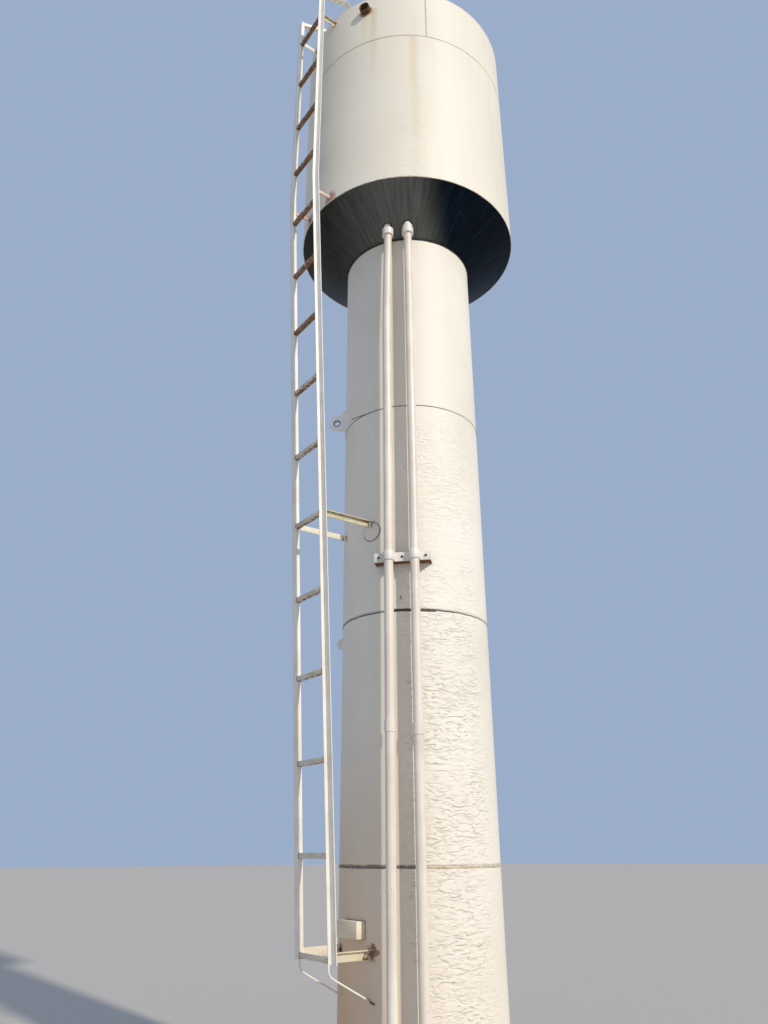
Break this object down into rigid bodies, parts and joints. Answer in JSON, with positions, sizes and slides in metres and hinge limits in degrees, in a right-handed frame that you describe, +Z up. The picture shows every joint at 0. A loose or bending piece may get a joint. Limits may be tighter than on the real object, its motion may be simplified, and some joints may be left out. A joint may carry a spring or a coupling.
{
  "type": "water tower",
  "caption": "Steel water tower: a slim round column carries a wider round tank on a short cone, with a side ladder and twin risers.",
  "frame": {"origin": "on the column's axis, at the underside of the base plate, ground level", "axes": "+Z up; -Y is the front, towards the two risers; the ladder stands 44.7 degrees to the left of the front, towards -X"},
  "size_m": [1.77, 1.8017, 8.65],
  "materials": {
    "column_paint": "thick cream roller paint, lightly wrinkled, with thin rust at the seams",
    "tank_paint": "cream paint, satin, with faint stains",
    "bitumen_coat": "dark bitumen coat, semi-gloss, brushed outwards",
    "ladder_paint": "cream paint over steel, worn to rust at edges and undersides",
    "rusty_steel": "brown rust with scraps of paint",
    "pipe_paint": "ivory paint over steel pipe, satin"
  },
  "bodies": {
    "root": {"base_plate": "column_paint", "column_course_1": "column_paint", "column_course_2": "column_paint", "column_course_3": "column_paint", "column_course_4": "column_paint", "tank_floor": "bitumen_coat", "tank_cone": "bitumen_coat", "tank_course_lower": "tank_paint", "tank_course_upper": "tank_paint", "tank_roof": "tank_paint", "hatch_neck": "tank_paint", "hatch_cover": "tank_paint", "ladder_rail_far": "ladder_paint", "ladder_rail_near": "ladder_paint", "rail_return_far": "ladder_paint", "rail_return_near": "ladder_paint", "rim_arm_far": "ladder_paint", "rim_arm_near": "ladder_paint", "stay_rod_far": "ladder_paint", "stay_rod_near": "ladder_paint", "rung_1": "ladder_paint", "rung_2": "ladder_paint", "rung_3": "ladder_paint", "rung_4": "ladder_paint", "rung_5": "ladder_paint", "rung_6": "ladder_paint", "rung_7": "ladder_paint", "rung_8": "ladder_paint", "rung_9": "ladder_paint", "rung_10": "ladder_paint", "rung_11": "ladder_paint", "rung_12": "ladder_paint", "rung_13": "ladder_paint", "rung_14": "ladder_paint", "rung_15": "ladder_paint", "riser_left": "pipe_paint", "riser_right": "pipe_paint", "riser_coupling_left": "pipe_paint", "riser_coupling_right": "pipe_paint", "pipe_clamp": "pipe_paint", "clamp_angle": "rusty_steel", "lifting_lug": "column_paint", "small_lug": "column_paint", "wall_box": "column_paint", "overflow_spout": "rusty_steel"}
  },
  "joints": []
}
